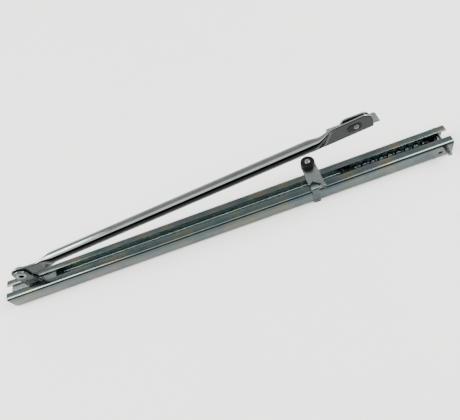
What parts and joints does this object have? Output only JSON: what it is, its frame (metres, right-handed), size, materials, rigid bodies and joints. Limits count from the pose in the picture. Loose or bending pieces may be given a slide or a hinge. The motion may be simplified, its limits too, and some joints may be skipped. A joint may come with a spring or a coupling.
{
  "type": "sliding_stay_arm",
  "caption": "Zinc-plated gate restraint arm: tube arm on a pivoting slider in a slotted channel track, with a spring buffer, a hinged catch with a rubber roller and a fixing foot",
  "frame": {"origin": "centre of the track's flat back face, on the plane that sits against the gate or frame", "axes": "+X along the track towards the spring buffer, +Y towards the roller end of the catch, +Z out of the slot"},
  "size_m": [0.6, 0.061, 0.1112],
  "materials": {
    "zinc_channel": "blue-passivated zinc plate over rolled sheet, satin",
    "bright_tube": "bright zinc plate over drawn tube, polished along its length",
    "bright_zinc": "bright zinc plate on turned pins, rivets and washers",
    "spring_steel": "oiled black spring wire",
    "black_nylon": "moulded nylon, matt",
    "black_rubber": "moulded rubber, semi-matt"
  },
  "bodies": {
    "track": {"track_channel": "zinc_channel", "end_pin": "bright_zinc", "spring_seat": "bright_zinc", "buffer_spring": "spring_steel", "catch_strap": "zinc_channel", "catch_hinge_pin": "bright_zinc"},
    "slider": {"slider_carriage": "zinc_channel", "slider_shoe_rear": "black_nylon", "slider_shoe_nose": "black_nylon", "pivot_fork": "zinc_channel", "fork_rivets": "bright_zinc", "pivot_rivet": "bright_zinc", "pivot_washers": "black_nylon"},
    "arm": {"arm_tube": "bright_tube", "foot_bush": "black_nylon"},
    "foot": {"foot_bracket": "zinc_channel", "foot_rivet": "bright_zinc", "foot_washer": "bright_zinc"},
    "catch": {"catch_flap": "zinc_channel", "roller_washer": "bright_zinc", "roller_sleeve": "bright_zinc", "roller_rivet": "bright_zinc"},
    "roller": {"catch_roller": "black_rubber"},
    "follower": {"spring_follower": "black_nylon"}
  },
  "joints": [
    {"name": "slider_travel", "type": "slide", "parent": "track", "child": "slider", "axis": [1, 0, 0], "range_m": [0, 0.367]},
    {"name": "arm_pivot", "type": "hinge", "parent": "slider", "child": "arm", "pos_m": [-0.26, 0, 0.05], "axis": [0, -1, 0], "range_deg": [-4, 98]},
    {"name": "foot_pivot", "type": "hinge", "parent": "arm", "child": "foot", "pos_m": [0.18339, 0, 0.09817], "axis": [0, 1, 0], "range_deg": [-95, 95]},
    {"name": "catch_hinge", "type": "hinge", "parent": "track", "child": "catch", "pos_m": [0.1353, -0.0138, 0.0275], "axis": [1, 0, 0], "range_deg": [0, 95]},
    {"name": "roller_spin", "type": "hinge", "parent": "catch", "child": "roller", "pos_m": [0.1285, 0.0245, 0.02995], "axis": [0, 0, 1], "continuous": true},
    {"name": "buffer_travel", "type": "slide", "parent": "track", "child": "follower", "axis": [1, 0, 0], "range_m": [0, 0.05], "stiffness_N_per_m": 6200, "deforming": ["buffer_spring"]}
  ]
}
